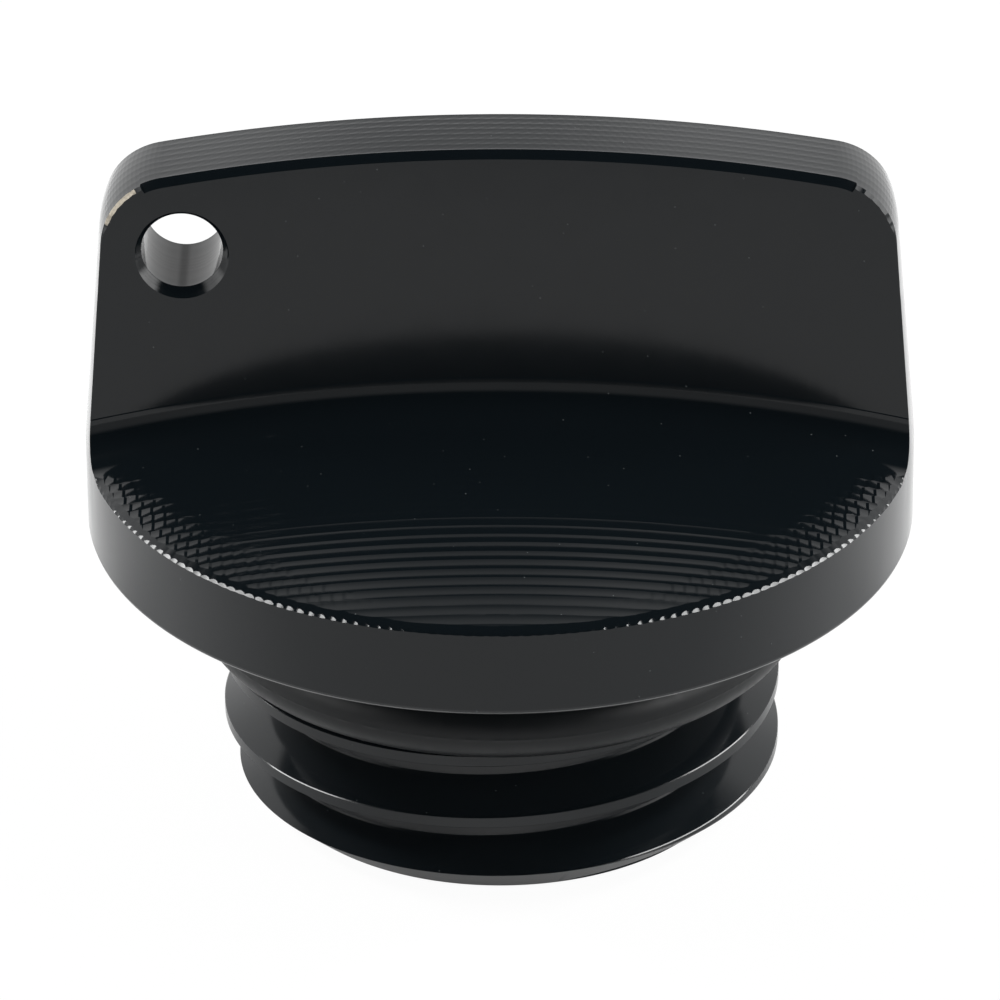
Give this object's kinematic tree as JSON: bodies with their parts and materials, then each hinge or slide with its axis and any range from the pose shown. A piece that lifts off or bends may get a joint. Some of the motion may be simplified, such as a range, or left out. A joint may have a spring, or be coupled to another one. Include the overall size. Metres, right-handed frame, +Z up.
{
  "type": "oil filler cap",
  "caption": "Screw-in oil filler cap with a round flange, a finger blade drilled for lock wire, a coarse right-hand thread and a rubber seal.",
  "frame": {"origin": "centre of the spigot's end face, where the cap stands", "axes": "+Z up the thread's axis towards the blade, X along the blade, -Y towards the viewer, lock wire hole on the -X side"},
  "size_m": [0.0294, 0.0294, 0.0257],
  "materials": {
    "anodised_aluminium": "gloss black anodised",
    "seal_rubber": "matte black"
  },
  "bodies": {
    "root": {"cap_body": "anodised_aluminium", "o_ring": "seal_rubber"}
  },
  "joints": []
}
